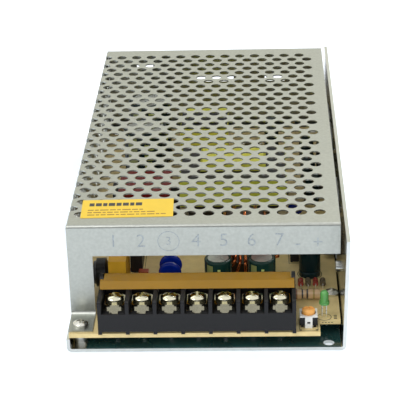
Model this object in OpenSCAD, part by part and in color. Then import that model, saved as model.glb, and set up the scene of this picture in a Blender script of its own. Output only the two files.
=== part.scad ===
// Mesh case switching power supply.
// A folded chassis carries the circuit board and a perforated cover; the terminal block,
// its flip lid, the trimmer and the lamp face the front.
// The front is -Y, the tall wall is on +X and +Z is up. Sizes are in millimetres.

/* [Case] */
// Length of the chassis from front to back
case_l = 199; // [190:1:240]
// Width of the chassis at its base
case_w = 98; // [98:0.5:120]
// Height of the case
case_h = 42; // [40:0.5:60]
// Thickness of the chassis sheet
sheet = 1.2; // [0.8:0.1:1.6]
// Outer radius of the chassis folds
fold_r = 1.8; // [1.7:0.1:3]
// Lean of the tall wall, degrees outwards
wall_lean = 1.4; // [0:0.1:2.5]
// Height of the low flange on the left
flange_h = 5; // [3:0.1:5.1]
// Height of the rear flange
rear_flange_h = 14; // [11:0.5:20]

/* [Cover] */
// Thickness of the cover sheet
cover_t = 0.5; // [0.4:0.1:0.8]
// Outer radius of the cover folds
cover_r = 1.1; // [1:0.1:2]
// Gap between the cover and the tall wall at its top
cover_gap = 1.4; // [0.5:0.1:3]
// Inset of the cover behind the left edge of the base
cover_inset = 0.25; // [0.1:0.05:0.6]
// Distance of the front lip behind the front edge
lip_y = 14.8; // [14.6:0.1:20]
// Height of the front lip
lip_h = 11.8; // [8:0.1:12]
// Width of the leg below the lip
leg_w = 8.7; // [7:0.1:9]
// Distance of the foot behind the front edge
foot_inset = 2; // [1:0.1:2.6]

/* [Mesh] */
// Diameter of the mesh holes
hole_d = 4.15; // [3:0.05:4.6]
// Distance between holes in one row
hole_pitch = 6.54; // [6.2:0.02:9]
// Distance between rows
row_step = 5.28; // [5:0.02:8]
// Plain margin in front of and behind the mesh
mesh_margin = 9.6; // [8:0.1:14]
// Plain margin beside the tall wall
mesh_side = 6.9; // [5:0.1:12]

/* [Sticker] */
// Width of the plain sticker
sticker_w = 32.8; // [20:0.1:50]
// Depth of the plain sticker
sticker_d = 15; // [8:0.1:30]
// Turn of the sticker, laid by hand
sticker_turn = 1.4; // [0:0.1:3]
// Thickness of the plain sticker
sticker_t = 0.12; // [0.08:0.01:0.3]

/* [Board] */
// Thickness of the circuit board
board_t = 1.6; // [1:0.1:2.4]
// Height of the board's underside above the floor
board_z = 5.2; // [5.2:0.1:7]
// Gap between the circuit board and the rear edge
board_gap = 9; // [8:0.5:20]
// Inset of the board's front edge
board_front = 0.8; // [0.4:0.1:2]
// Width of the notch at the right front corner
notch_w = 7.4; // [5:0.1:7.6]
// Depth of the notch at the right front corner
notch_d = 9.2; // [5:0.1:9.6]
// Thickness of the insulating film
film_t = 0.25; // [0.1:0.05:0.5]
// Diameter of the board's fixing screws
screw_d = 3; // [2.5:0.1:3]

/* [Terminal block] */
// Number of poles
poles = 7; // [5:1:7]
// Gap between the board's left edge and the block
block_left_gap = 10.45; // [10.2:0.05:11]
// Gap between the block and the board's right edge
block_right_gap = 15.85; // [15.6:0.05:17]
// Thickness of a barrier between poles
barrier_t = 1.3; // [1:0.1:1.6]
// Height of the barriers above the board
barrier_h = 12.9; // [12:0.1:13.5]
// Depth of the block from front to back
block_d = 19; // [18.6:0.1:20.5]
// Height of the block's front wall above the board
ledge_h = 8; // [7.8:0.1:8.4]
// Diameter of the terminal screw heads
terminal_head_d = 6.5; // [5:0.1:7]
// Gap between a clamp washer and the barriers
clamp_gap = 0.6; // [0.4:0.05:0.8]

/* [Flip lid] */
// Thickness of the lid
lid_t = 1.2; // [0.8:0.1:1.4]
// Depth of the lid from front to back
lid_d = 8.3; // [7.6:0.1:9]
// Depth of the sloping front face
lid_slope = 2.6; // [2:0.1:3.2]
// Height of the sloping front face
lid_rise = 1.9; // [1.6:0.1:2.2]
// Diameter of the lid's hinge pins
pin_d = 1.8; // [1.2:0.1:1.9]
// Radial clearance round the hinge pins
pin_gap = 0.08; // [0.05:0.01:0.1]

/* [Parts on the board] */
// Diameter of the two large primary capacitors
bulk_d = 18; // [14:0.5:18]
// Height of the two large primary capacitors
bulk_h = 27.2; // [20:0.1:30]
// Diameter of the output capacitors
out_cap_d = 10; // [8:0.5:10]
// Height of the output capacitors
out_cap_h = 16; // [12:0.5:20]
// Outer width of the main transformer core
core_w = 41; // [36:0.5:41]
// Outer depth of the main transformer core
core_l = 31; // [29:0.5:33]
// Thickness of the main transformer core
core_h = 12; // [10:0.5:13]
// Outer diameter of the output choke ring
ring_d = 24; // [20:0.5:24]
// Width of the output choke ring
ring_w = 10; // [7:0.5:10.5]
// Number of turns on the output choke
ring_turns = 20; // [12:1:22]
// Diameter of the lamp
lamp_d = 3; // [2.8:0.1:3.2]
// Width of the line choke's core
choke_w = 26; // [24:0.5:27]
// Height of the line choke's core
choke_h = 15; // [12:0.5:17]
// Height of the line capacitor
line_cap_h = 15; // [10:0.5:17]
// Diameter of the thermistor
thermistor_d = 10.5; // [8:0.5:12]
// Diameter of the small capacitors
small_can_d = 6.3; // [5:0.1:6.4]
// Height of the small capacitors
small_can_h = 11; // [7:0.5:15]
// Side of the trimmer body
trimmer_w = 6.2; // [6:0.1:6.6]

/* [Hidden] */
$fn = 48;

// Case edges, measured from the middle of the base and its front edge.
half_w = case_w / 2;
wall_x = half_w - sheet;                 // inner face of the tall wall at its foot
wall_turn_x = half_w - fold_r;           // centre of the tall wall's fold
wall_rise = (case_h - fold_r + (fold_r - sheet) * sin(wall_lean)) / cos(wall_lean);
wall_reach = wall_turn_x + fold_r * cos(wall_lean) + wall_rise * sin(wall_lean) - half_w;
cover_left = -half_w + cover_inset;
cover_right = half_w + wall_reach - sheet - cover_gap;
cover_rear = case_l - sheet;
rear_w = case_w - 2 * (fold_r + 3);
lip_z = case_h - lip_h;

// Board and fixings.
board_top = board_z + board_t;
board_left = -half_w + cover_inset + cover_t + 0.15;
board_right = wall_x - 0.4;
foot_top = board_top + cover_t;
screw_r = screw_d / 2;
thread_gap = 0.05;
standoff_d = 4.8;
foot_screw_at = [cover_left + cover_inset + 4.1, 6.4];
board_back = case_l - board_gap;
board_screw_at = [[board_right - 2.4, 29], [board_left + 4.5, board_back - 6],
    [board_right - 4, board_back - 6]];
head_d = 5.4;
head_h = 1.9;
film_left = -half_w + 6.8;               // bare metal shows beside the film
bend_r = 2.2;                            // where the leg turns into the foot
rear_screw_x = 34;
rear_screw_z = 8;
front_hole_at = [half_w - 6, 2.9];
front_hole_d = 4;
side_hole_at = [[35, 15], [153, 15]];    // threaded collars pressed into the tall wall
side_hole_d = 2.6;
collar_d = 4.2;
collar_t = 1.4;
mount_d = 3.4;
mount_dx = 50;
mount_dy = 117;
mount_y = 41;

// Terminal block, from its left end and the board's front edge.
block_x = board_left + block_left_gap;
block_w = board_right - block_right_gap - block_x;
block_mid = block_x + block_w / 2;       // the block sits a little left of the middle
pole_pitch = (block_w - barrier_t) / poles;
clamp_w = pole_pitch - barrier_t - 2 * clamp_gap;
block_floor = board_top + 1.1;
plate_t = 0.8;
plate_top = board_top + 7.7;
barrier_top = board_top + barrier_h;
ledge_top = board_top + ledge_h;
clamp_d = 8.4;
clamp_t = 1.5;
clamp_y = 8.9;
terminal_head_h = 2.3;
back_wall_t = 1.2;
front_wall_t = 0.6;
plate_y = 3.2;                           // where the plates narrow to their tongues
tongue_w = 3.1;
lug_r = 3;
body_gap = 0.3;                          // between parts that move against each other
pivot_y = block_d - 2.5;
pivot_z = barrier_top - 0.3;
low_top = pivot_z - 3.2;                 // top of the barriers behind the lid's swing
lid_back = pivot_y + 0.8;
lid_front = lid_back - lid_d;
lid_low = barrier_top + body_gap;
ridge_z = lid_low + lid_rise;
lid_wide = block_w / 2 - 0.4;
lid_narrow = block_w / 2 - barrier_t - body_gap;
lid_step = pivot_y - lug_r - 0.5;        // the lid is wide in front of the lugs only
lid_tab_r = 2.2;

tape_t = 0.3;                            // bands of tape round the cores
tape_edge = 0.5;

// Places of the parts on the board: x from the middle or a side, y from the front edge.
lamp_at = [board_right - 5.7, 11.6];
lamp_z = board_top + 5.4;
trimmer_at = [board_right - 11.4, 7];
trimmer_h = 3.6;
trimmer_lift = 0.9;
frame_t = 0.6;
knob_z = board_top + trimmer_lift + trimmer_h - frame_t + body_gap;
spindle_d = 2;
spindle_h = 2.3;
knob_d = 4.6;
knob_h = 2;
resistor_y = 25;
resistor_r = 1.9;
resistor_x = [board_right - 17.6, board_right - 6.8];
aux_at = [board_right - 9.8, 45];
aux_d = 8;
aux_h = 13;
out_cap_x = [board_right - 43.3, board_right - 27.6];
out_cap_y = 27.8;
ring_at = [board_right - 33.6, 45.5];
wire_d = 1.25;
disc_x = -13.8;
disc_y = [33.8, 40];
disc_d = 8.4;
disc_t = 2.4;
disc_lift = 2.8;
line_cap_x = board_left + 12.4;
line_cap_y = 27;
line_cap = [6.4, 18, line_cap_h];
thermistor_x = board_left + 9.2;
thermistor_y = 34;
thermistor_t = 5.6;
thermistor_lift = 2;
bridge_at = [board_left + 18.9, 45.5];
bridge = [4.4, 18, 15];
bridge_mid_y = bridge_at[1] + bridge[1] / 2;
bridge_lift = 1.2;
bead_at = [bridge_at[0] + bridge[0] + 0.6, 43.6];
bead = [3.6, 2.5, 3];
line_choke_at = [board_left + 22.4, 92];
choke_d = 8;
choke_bar = 4;                           // height of the core above and below its window
choke_lift = 1.5;
choke_winding_w = choke_w - 5.6;
choke_winding_d = 20;
choke_slack = 0.1;
bulk_x = board_left + 20.6;
bulk_y = [126.5, 157.5];
main_at = [line_choke_at[0] + choke_w / 2 + 1.2 + core_w / 2, 96.5];
main_lift = 11.2;
yoke = 6;
leg_t = 7.5;
main_slack = 0.4;
main_rise = 4;                           // how far the winding stands above the core
cheek_rise = 0.3;
cheek_t = 1;
main_z = board_top + main_lift;
winding_lift = 7;
driver = [19.6, 17.6, 8.5];
driver_gap = 4.4;
driver_at = [bulk_x + bulk_d / 2 + driver_gap + tape_t + driver[0] / 2, 152.4];
driver_lift = 10.7;
driver_leg = 4.4;
driver_base = 5;
coupling = [18, 5.6, 17.2];
coupling_at = [driver_at[0] + 0.8, driver_at[1] + driver[1] / 2 + 5.4 + coupling[1] / 2];
small_can_at = [[board_right - 8, 150], [board_right - 8, 131], [board_right - 7, 111],
    [24.6, board_back - 16], [24.6, board_back - 29]];
chip_at = [board_right - 13, 64];
wall_part_y = [120, 141];
rectifier_y = 64;
blue_disc_d = 6;
transistor_w = 10;
rectifier_w = 15;
pack_z = 9;                              // underside of a power part's moulded body
pack_h = 9;
pack_t = 4.5;
tab_h = 15;                              // metal tab above the body
tab_t = 1.3;
wall_hole_z = 26;
pad_w = 17;
pad_h = 26;
pad_z = 8;
bobbin_side = 3;                         // step from a core's edge in to its bobbin
bobbin_end = 0.5;
blue_disc_at = [main_at[0] + core_w / 2 + tape_t + 0.6 + blue_disc_d / 2, 91];
pad_t = 0.2;

// Shared shapes

// Moves the case so that the middle of its footprint is the origin.
module place() translate([-wall_reach / 2, -case_l / 2, 0]) children();

// Runs a profile drawn in X and Z along Y, from y0 to y1.
module run_y(y0, y1) translate([0, y1, 0]) rotate([90, 0, 0]) linear_extrude(y1 - y0) children();

// Runs a profile drawn in Y and Z along X, from x0 to x1.
module run_x(x0, x1) translate([x0, 0, 0]) rotate([90, 0, 90]) linear_extrude(x1 - x0) children();

// A quarter of a ring between two angles, for a fold in a sheet.
module fold(outer, inner, from, to) intersection() {
    difference() {
        circle(outer);
        circle(inner);
    }
    polygon([[0, 0], outer * 2 * [cos(from), sin(from)],
        outer * 3 * [cos((from + to) / 2), sin((from + to) / 2)], outer * 2 * [cos(to), sin(to)]]);
}

// A round-headed cross-recess screw: head upwards from z = 0, shank down.
module pan_screw(d, head_d, head_h, length) {
    difference() {
        intersection() {
            cylinder(d = head_d, h = head_h);
            translate([0, 0, head_h - head_d * 0.8]) sphere(head_d * 0.8);
        }
        for (turn = [0, 90]) rotate(turn)
            translate([-head_d * 0.28, -head_d * 0.06, head_h * 0.45])
                cube([head_d * 0.56, head_d * 0.12, head_h]);
    }
    translate([0, 0, -length]) cylinder(d = d - 2 * thread_gap, h = length);
}

// A can with a rounded shoulder and a groove above its foot.
module can(d, h) rotate_extrude() difference() {
    union() {
        square([d / 2, h - 0.8]);
        square([d / 2 - 0.8, h]);
        translate([d / 2 - 0.8, h - 0.8]) circle(0.8);
    }
    translate([d / 2 + 0.35, 2.4]) circle(0.6);
    translate([-1, -1]) square([1, h + 2]);
}

// Puts a part against the tall wall: its back is x = 0 and it grows towards -X.
module on_wall(y, z) translate([wall_turn_x, y, fold_r]) rotate([0, wall_lean, 0])
    translate([fold_r - sheet, 0, z - fold_r]) children();

// A box centred in X and Y on the board.
module block_at(at, size, lift = 0) translate([at[0] - size[0] / 2, at[1] - size[1] / 2,
    board_top + lift]) cube(size);

// The case

module chassis_profile() {
    translate([-half_w + fold_r, 0]) square([case_w - 2 * fold_r, sheet]);
    translate([-half_w + fold_r, fold_r]) fold(fold_r, fold_r - sheet, 180, 270);
    translate([-half_w, fold_r]) square([sheet, flange_h - fold_r]);
    translate([wall_turn_x, fold_r]) {
        fold(fold_r, fold_r - sheet, 270, 360 - wall_lean);
        rotate(-wall_lean) translate([fold_r - sheet, 0]) square([sheet, wall_rise]);
    }
}

module mount_points() for (x = [-1, 1], y = [0, 1])
    translate([x * mount_dx / 2, mount_y + y * mount_dy, 0]) children();

module chassis() place() color("lightsteelblue") difference() {
    union() {
        run_y(0, case_l) chassis_profile();
        translate([-rear_w / 2, case_l - sheet, sheet]) cube([rear_w, sheet, rear_flange_h - sheet]);
        for (at = side_hole_at) on_wall(at[0], at[1]) rotate([0, -90, 0])
            translate([0, 0, -sheet / 2]) cylinder(d = collar_d, h = collar_t + sheet / 2);
    }
    for (at = side_hole_at) on_wall(at[0], at[1]) rotate([0, -90, 0])
        translate([0, 0, -sheet - 1]) cylinder(d = side_hole_d, h = sheet + collar_t + 2);
    translate([front_hole_at[0], front_hole_at[1], -1]) cylinder(d = front_hole_d, h = sheet + 2);
    mount_points() translate([0, 0, -1]) cylinder(d = mount_d, h = sheet + 2);
    for (side = [-1, 1]) translate([side * rear_screw_x, case_l, rear_screw_z]) rotate([90, 0, 0])
        translate([0, 0, -0.01]) cylinder(d1 = 5.4, d2 = screw_d, h = sheet + 0.02);
    for (y = concat(wall_part_y, [rectifier_y])) on_wall(y, wall_hole_z) rotate([0, 90, 0])
        translate([0, 0, -1]) cylinder(d = screw_d, h = sheet + 2);
}

module insulating_film() place() color("darkslategray") translate([0, 0, sheet]) difference() {
    translate([film_left, 0.4, 0]) cube([half_w - fold_r - film_left, case_l - 3, film_t]);
    for (at = concat([foot_screw_at], board_screw_at))
        translate([at[0], at[1], -1]) cylinder(d = standoff_d + 0.3, h = 3);
    translate([front_hole_at[0], front_hole_at[1], -1]) cylinder(d = front_hole_d, h = 3);
    mount_points() translate([0, 0, -1]) cylinder(d = mount_d + 1, h = 3);
}

module standoffs() place() color("silver")
    for (at = concat([foot_screw_at], board_screw_at)) translate([at[0], at[1], sheet])
        difference() {
            cylinder(d = standoff_d, h = board_z - sheet);
            translate([0, 0, -1]) cylinder(d = screw_d, h = board_z + 2);
        }

module circuit_board() place() color("tan") translate([0, 0, board_z]) difference() {
    translate([board_left, board_front, 0])
        cube([board_right - board_left, board_back - board_front, board_t]);
    translate([board_right - notch_w, -1, -1]) cube([notch_w + 1, notch_d + 1, board_t + 2]);
    for (at = concat([foot_screw_at], board_screw_at))
        translate([at[0], at[1], -1]) cylinder(d = screw_d + 0.3, h = board_t + 2);
}

// The mesh is punched in the flat parts; every other row also runs across the fold.
mesh_x = cover_right - mesh_side;
mesh_y = lip_y + mesh_margin;
mesh_rows = floor((cover_rear - mesh_y - mesh_margin) / row_step + 0.05) + 1;
fold_line = cover_left + cover_r;
side_low = board_top + 2.5;
sticker_at = [cover_left + 20.9, lip_y + 14.3];

function stagger(row) = (row % 2) * hole_pitch / 2;
function row_count(row) = floor((mesh_x - stagger(row) - fold_line - hole_d / 2) / hole_pitch) + 1;
function side_first(row) = case_h - cover_r - hole_d / 2 - 0.2 - stagger(row);
function side_count(row) = floor((side_first(row) - side_low - hole_d / 2) / hole_pitch) + 1;

module cover_top() linear_extrude(cover_t) difference() {
    translate([fold_line, lip_y + cover_r])
        square([cover_right - fold_line, cover_rear - lip_y - 2 * cover_r]);
    for (row = [0 : mesh_rows - 1], i = [0 : row_count(row) - 1])
        translate([mesh_x - stagger(row) - i * hole_pitch, mesh_y + row * row_step]) circle(d = hole_d);
    for (row = [1 : 2 : mesh_rows - 1])
        translate([fold_line, mesh_y + row * row_step]) circle(d = hole_d);
}

// Drawn with x along the case and y up the wall.
module cover_side() linear_extrude(cover_t) difference() {
    translate([lip_y + cover_r, flange_h + 0.1])
        square([cover_rear - lip_y - 2 * cover_r, case_h - cover_r - flange_h - 0.1]);
    for (row = [0 : mesh_rows - 1], i = [0 : side_count(row) - 1])
        translate([mesh_y + row * row_step, side_first(row) - i * hole_pitch]) circle(d = hole_d);
    for (row = [1 : 2 : mesh_rows - 1])
        translate([mesh_y + row * row_step, case_h - cover_r]) circle(d = hole_d);
}

module cover_fold() difference() {
    run_y(lip_y + cover_r, cover_rear - cover_r) translate([fold_line, case_h - cover_r])
        fold(cover_r, cover_r - cover_t, 90, 180);
    for (row = [1 : 2 : mesh_rows - 1])
        translate([cover_left - 1, mesh_y + row * row_step - hole_d / 2, case_h - cover_r - 1])
            cube([cover_r + 1, hole_d, cover_r + 2]);
}

// Front lip and rear wall in section, Y and Z.
module lip_profile() {
    translate([lip_y + cover_r, case_h - cover_r]) fold(cover_r, cover_r - cover_t, 90, 180);
    translate([lip_y, lip_z]) square([cover_t, lip_h - cover_r]);
}

module rear_profile() {
    translate([cover_rear - cover_r, case_h - cover_r]) fold(cover_r, cover_r - cover_t, 0, 90);
    translate([cover_rear - cover_t, sheet + 0.3]) square([cover_t, case_h - cover_r - sheet - 0.3]);
}

// The leg drops from the lip and turns forwards into the foot.
module leg_profile() {
    translate([lip_y, board_top + bend_r]) square([cover_t, lip_z - board_top - bend_r]);
    translate([lip_y - bend_r + cover_t, board_top + bend_r]) fold(bend_r, bend_r - cover_t, 270, 360);
    translate([foot_inset, board_top]) square([lip_y - bend_r + cover_t - foot_inset, cover_t]);
}

module cover() place() color("lightgray") difference() {
    union() {
        translate([0, 0, case_h - cover_t]) cover_top();
        translate([cover_left, 0, 0]) rotate([90, 0, 90]) cover_side();
        cover_fold();
        run_x(cover_left + 0.1, cover_right) lip_profile();
        run_x(cover_left + cover_t, board_right) rear_profile();
        run_x(cover_left + cover_inset, cover_left + cover_inset + leg_w) leg_profile();
        translate([cover_left, lip_y + cover_t, lip_z + 3])
            cube([cover_t, cover_r - cover_t, lip_h - cover_r - 3]);
    }
    translate([foot_screw_at[0], foot_screw_at[1], board_top - 1]) cylinder(d = screw_d + 0.3, h = 3);
    for (side = [-1, 1]) translate([side * rear_screw_x, cover_rear + 1, rear_screw_z])
        rotate([90, 0, 0]) cylinder(d = screw_d + 0.2, h = 3);
    for (slot = [[-9, 17, 26.6], [22, 9, 26.6], [-35.5, 7.4, 33]])
        translate([slot[0], cover_rear - 2, slot[2]]) cube([slot[1], 4, 2.4]);
    translate([-half_w, cover_rear - 2, 0]) cube([sheet + 0.05, 4, flange_h + 0.1]);
}

module sticker() place() color("gold") translate([sticker_at[0], sticker_at[1], case_h])
    rotate(sticker_turn) translate([-sticker_w / 2, -sticker_d / 2, 0])
        cube([sticker_w, sticker_d, sticker_t]);

module board_screws() place() color("silver") {
    translate([foot_screw_at[0], foot_screw_at[1], foot_top])
        pan_screw(screw_d, head_d, head_h, foot_top - sheet - 0.3);
    for (at = board_screw_at) translate([at[0], at[1], board_top])
        pan_screw(screw_d, head_d, head_h, board_top - sheet - 0.3);
}

module rear_screws() place() color("silver")
    for (side = [-1, 1]) translate([side * rear_screw_x, case_l, rear_screw_z])
        rotate([90, 0, 0]) difference() {
            union() {
                cylinder(d1 = 5.3, d2 = screw_d - 2 * thread_gap, h = sheet);
                cylinder(d = screw_d - 2 * thread_gap, h = 6);
            }
            for (turn = [0, 90]) rotate(turn) translate([-1.5, -0.3, -1]) cube([3, 0.6, 1.7]);
        }

// Terminal block

function pole_x(i) = block_x + barrier_t / 2 + (i + 0.5) * pole_pitch;
function barrier_x(i) = block_x + i * pole_pitch;

module barrier_profile() {
    corner = 0.9;
    difference() {
        translate([0, board_top]) square([block_d, barrier_h]);
        translate([-1, barrier_top - corner]) square([1 + corner, 2]);
        translate([lid_step - 0.5, low_top]) square([block_d, barrier_h]);
        translate([1.6, board_top - 1]) square([block_d - 3.2, 1 + block_floor - board_top]);
    }
    translate([corner, barrier_top - corner]) circle(corner);
}

module terminal_block() place() color([0.12, 0.12, 0.13]) difference() {
    union() {
        run_x(block_x, block_x + block_w) difference() {
            translate([0, block_floor]) square([block_d, plate_top - plate_t - block_floor]);
            translate([1.6, block_floor - 1]) square([block_d - 3.2, 3]);
        }
        run_x(block_x, block_x + block_w) translate([0, block_floor])
            square([front_wall_t, ledge_top - block_floor]);
        run_x(block_x, block_x + block_w) translate([block_d - back_wall_t, block_floor])
            square([back_wall_t, low_top - block_floor]);
        for (i = [0 : poles]) run_x(barrier_x(i), barrier_x(i) + barrier_t) barrier_profile();
        for (i = [0, poles]) run_x(barrier_x(i), barrier_x(i) + barrier_t) {
            translate([pivot_y, pivot_z]) circle(lug_r);
            translate([pivot_y - lug_r, pivot_z - 5]) square([2 * lug_r, 5]);
        }
    }
    translate([block_x - 1, pivot_y, pivot_z]) rotate([0, 90, 0])
        cylinder(d = pin_d + 2 * pin_gap, h = block_w + 2);
    for (i = [0 : poles - 1]) translate([pole_x(i), clamp_y, block_floor - 1])
        cylinder(d = 3.6, h = 10);
}

module terminal_plates() place() color("silver") for (i = [0 : poles - 1])
    translate([pole_x(i), 0, 0]) {
        difference() {
            union() {
                translate([-clamp_w / 2, plate_y, plate_top - plate_t])
                    cube([clamp_w, block_d - back_wall_t - plate_y, plate_t]);
                translate([-tongue_w / 2, front_wall_t, plate_top - plate_t])
                    cube([tongue_w, plate_y - front_wall_t + 0.4, plate_t]);
            }
            translate([0, clamp_y, plate_top - 2]) cylinder(d = 3.2, h = 4);
        }
    }

module clamp_washers() place() color("gainsboro") for (i = [0 : poles - 1])
    translate([pole_x(i), clamp_y, plate_top]) difference() {
        intersection() {
            translate([-clamp_w / 2, -clamp_d / 2, 0]) cube([clamp_w, clamp_d, clamp_t]);
            translate([0, 0, -0.5]) cylinder(d = clamp_w * 1.36, h = clamp_t + 1);
        }
        translate([0, 0, -1]) cylinder(d = 3.6, h = clamp_t + 2);
        rotate([0, 90, 0]) translate([0, 0, -clamp_w]) cylinder(r = 0.7, h = 2 * clamp_w);
    }

module terminal_screws() place() color("gainsboro") for (i = [0 : poles - 1])
    translate([pole_x(i), clamp_y, plate_top + clamp_t]) rotate(20 + 53 * i)
        pan_screw(3.1, terminal_head_d, terminal_head_h, clamp_t + plate_t + 2.4);

// The lid in section, Y and Z: a sloping front face, a ridge and an almost level top.
module lid_profile() {
    inner_y = lid_front + lid_t * norm([lid_slope, lid_rise]) / lid_rise;
    inner_ridge = inner_y + (lid_rise - lid_t) * lid_slope / lid_rise;
    polygon([[lid_front, lid_low], [lid_front + lid_slope, ridge_z], [lid_back, ridge_z + 0.2],
        [lid_back, ridge_z + 0.2 - lid_t], [inner_ridge, ridge_z - lid_t], [inner_y, lid_low]]);
}

module flip_lid() place() color([0.85, 0.5, 0.1, 0.7]) {
    run_x(block_mid - lid_narrow, block_mid + lid_narrow) lid_profile();
    run_x(block_mid - lid_wide, block_mid + lid_wide) intersection() {
        lid_profile();
        translate([lid_front, lid_low]) square([lid_step - lid_front, lid_rise + 1]);
    }
    for (side = [-1, 1]) translate([block_mid + side * (lid_narrow - 0.6), 0, 0]) {
        translate([-0.6, pivot_y, pivot_z]) rotate([0, 90, 0]) cylinder(r = lid_tab_r, h = 1.2);
        translate([-0.6, pivot_y - lid_tab_r, pivot_z])
            cube([1.2, lid_tab_r + lid_back - pivot_y, ridge_z - lid_t / 2 - pivot_z]);
        translate([0, pivot_y, pivot_z]) rotate([0, side * 90, 0])
            cylinder(d = pin_d, h = block_w / 2 - lid_narrow + 0.6 - 0.2);
    }
}

// Trimmer and lamp

module trimmer_body() place() color([0.16, 0.16, 0.17]) difference() {
    union() {
        block_at(trimmer_at, [trimmer_w, trimmer_w - 0.4, trimmer_h - frame_t], trimmer_lift);
        for (side = [-1, 1], end = [-1, 1]) block_at(trimmer_at + [side, end] * (trimmer_w / 2 - 0.9),
            [1, 1, trimmer_lift]);
    }
    translate([trimmer_at[0], trimmer_at[1], knob_z - body_gap - spindle_h])
        cylinder(d = spindle_d + 2 * pin_gap, h = spindle_h + 2);
}

module trimmer_frame() place() color("whitesmoke") difference() {
    union() {
        block_at(trimmer_at, [trimmer_w, trimmer_w - 0.4, frame_t], trimmer_lift + trimmer_h - frame_t);
        translate([trimmer_at[0] - 1.3, trimmer_at[1] - trimmer_w / 2 - 0.4, board_top])
            cube([2.6, 0.6, trimmer_lift + trimmer_h]);
    }
    translate([trimmer_at[0], trimmer_at[1], board_top]) cylinder(d = knob_d + 2 * body_gap, h = 10);
    translate([trimmer_at[0] - 0.55, trimmer_at[1] - trimmer_w / 2 - 1, board_top + 1.6])
        cube([1.1, 2, 0.9]);
}

module trimmer_knob() place() color("darkorange")
    translate([trimmer_at[0], trimmer_at[1], knob_z])
        difference() {
            union() {
                translate([0, 0, -spindle_h]) cylinder(d = spindle_d, h = spindle_h + 0.1);
                cylinder(d = knob_d, h = knob_h - 0.6);
                translate([0, 0, knob_h - 0.6]) cylinder(d1 = knob_d, d2 = knob_d - 1.2, h = 0.6);
            }
            translate([-knob_d / 2 - 1, -0.35, knob_h - 0.7]) cube([knob_d + 2, 0.7, 2]);
            rotate(90) translate([-0.2, -0.35, knob_h - 0.7]) cube([knob_d, 0.7, 2]);
        }

module lamp() place() color("limegreen") translate([lamp_at[0], lamp_at[1], lamp_z]) {
    cylinder(d = lamp_d + 0.6, h = 1);
    cylinder(d = lamp_d, h = 5.3 - lamp_d / 2);
    translate([0, 0, 5.3 - lamp_d / 2]) sphere(lamp_d / 2);
}

// Parts at the mains side

module thermistor() place() color([0.1, 0.1, 0.1])
    translate([thermistor_x, thermistor_y, board_top + thermistor_lift + thermistor_d / 2]) rotate([0, 90, 0])
        rotate_extrude() difference() {
            translate([0, -thermistor_t / 2]) square([thermistor_d / 2, thermistor_t]);
            for (side = [-1, 1]) translate([thermistor_d / 2, side * thermistor_t / 2]) circle(1.1);
        }

module line_capacitor() place() color("goldenrod")
    block_at([line_cap_x + line_cap[0] / 2, line_cap_y + line_cap[1] / 2], line_cap);

module bridge_rectifier() place() color([0.1, 0.1, 0.1])
    block_at([bridge_at[0] + bridge[0] / 2, bridge_mid_y], bridge, bridge_lift);

module disc(at, d, t, lift) translate([at[0], at[1], board_top + lift + d / 2]) rotate([90, 0, 0])
    translate([0, 0, -t / 2]) rotate_extrude() {
        square([d / 2 - t / 2, t]);
        translate([d / 2 - t / 2, t / 2]) intersection() {
            circle(t / 2);
            translate([0, -t]) square(2 * t);
        }
    }

module disc_capacitors() place() color("royalblue")
    for (y = disc_y) disc([disc_x, y], disc_d, disc_t, disc_lift);

module blue_disc() place() color("blue") disc(blue_disc_at, blue_disc_d, disc_t, disc_lift);

module film_capacitor() place() color([0.5, 0.2, 0.16]) block_at(bead_at, bead);

module line_choke_core() place() color([0.2, 0.2, 0.21]) difference() {
    block_at(line_choke_at, [choke_w, choke_d, choke_h], choke_lift);
    block_at(line_choke_at, [choke_winding_w + 2 * choke_slack, choke_d + 2, choke_h - 2 * choke_bar],
        choke_lift + choke_bar);
}

module line_choke_winding() place() color([0.42, 0.1, 0.1]) difference() {
    block_at(line_choke_at, [choke_winding_w, choke_winding_d, choke_h + 2 * choke_lift]);
    for (bar = [0, 1]) block_at(line_choke_at, [choke_winding_w + 1, choke_d + 2 * choke_slack,
        choke_bar + 2 * choke_slack], choke_lift - choke_slack + bar * (choke_h - choke_bar));
}

module bulk_capacitors() place() color("darkslategray") for (y = bulk_y)
    translate([bulk_x, y, board_top]) difference() {
        can(bulk_d, bulk_h);
        translate([0, 0, bulk_h - 0.4]) cylinder(d = bulk_d - 3, h = 1);
    }

module bulk_capacitor_tops() place() color("silver") for (y = bulk_y)
    translate([bulk_x, y, board_top + bulk_h - 0.4]) difference() {
        cylinder(d = bulk_d - 3.2, h = 0.3);
        for (turn = [0, 60, 120]) rotate(turn) translate([-bulk_d, -0.2, 0.15]) cube([2 * bulk_d, 0.4, 1]);
    }

// Transformers: a ferrite frame lies flat round a taped winding.
module flat_core(w, l, h, leg, end) difference() {
    translate([-w / 2, -l / 2, 0]) cube([w, l, h]);
    translate([-w / 2 + leg, -l / 2 + end, -1]) cube([w - 2 * leg, l - 2 * end, h + 2]);
}

// A box with its long corners turned off slightly.
module flat_winding(w, l, h) intersection() {
    translate([-w / 2, -l / 2, 0]) cube([w, l, h]);
    translate([0, l / 2, h / 2]) rotate([90, 0, 0]) cylinder(r = norm([w, h]) * 0.48, h = l, $fn = 72);
}

// A band of tape round the outside of a flat core.
module core_band(w, l, h) difference() {
    translate([-w / 2 - tape_t, -l / 2 - tape_t, tape_edge])
        cube([w + 2 * tape_t, l + 2 * tape_t, h - 2 * tape_edge]);
    translate([-w / 2, -l / 2, 0]) cube([w, l, h]);
}

module at_driver(z) place() translate([driver_at[0], driver_at[1], board_top + z]) children();

module driver_core() color([0.16, 0.16, 0.17]) at_driver(driver_lift)
    flat_core(driver[0], driver[1], driver[2], driver_leg, driver_leg);

module driver_winding() color([0.14, 0.14, 0.12]) at_driver(driver_base)
    flat_winding(driver[0] - 2 * driver_leg - main_slack, driver[1] - 2 * driver_leg - main_slack,
        driver_lift + driver[2] - driver_base + 0.6);

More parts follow.
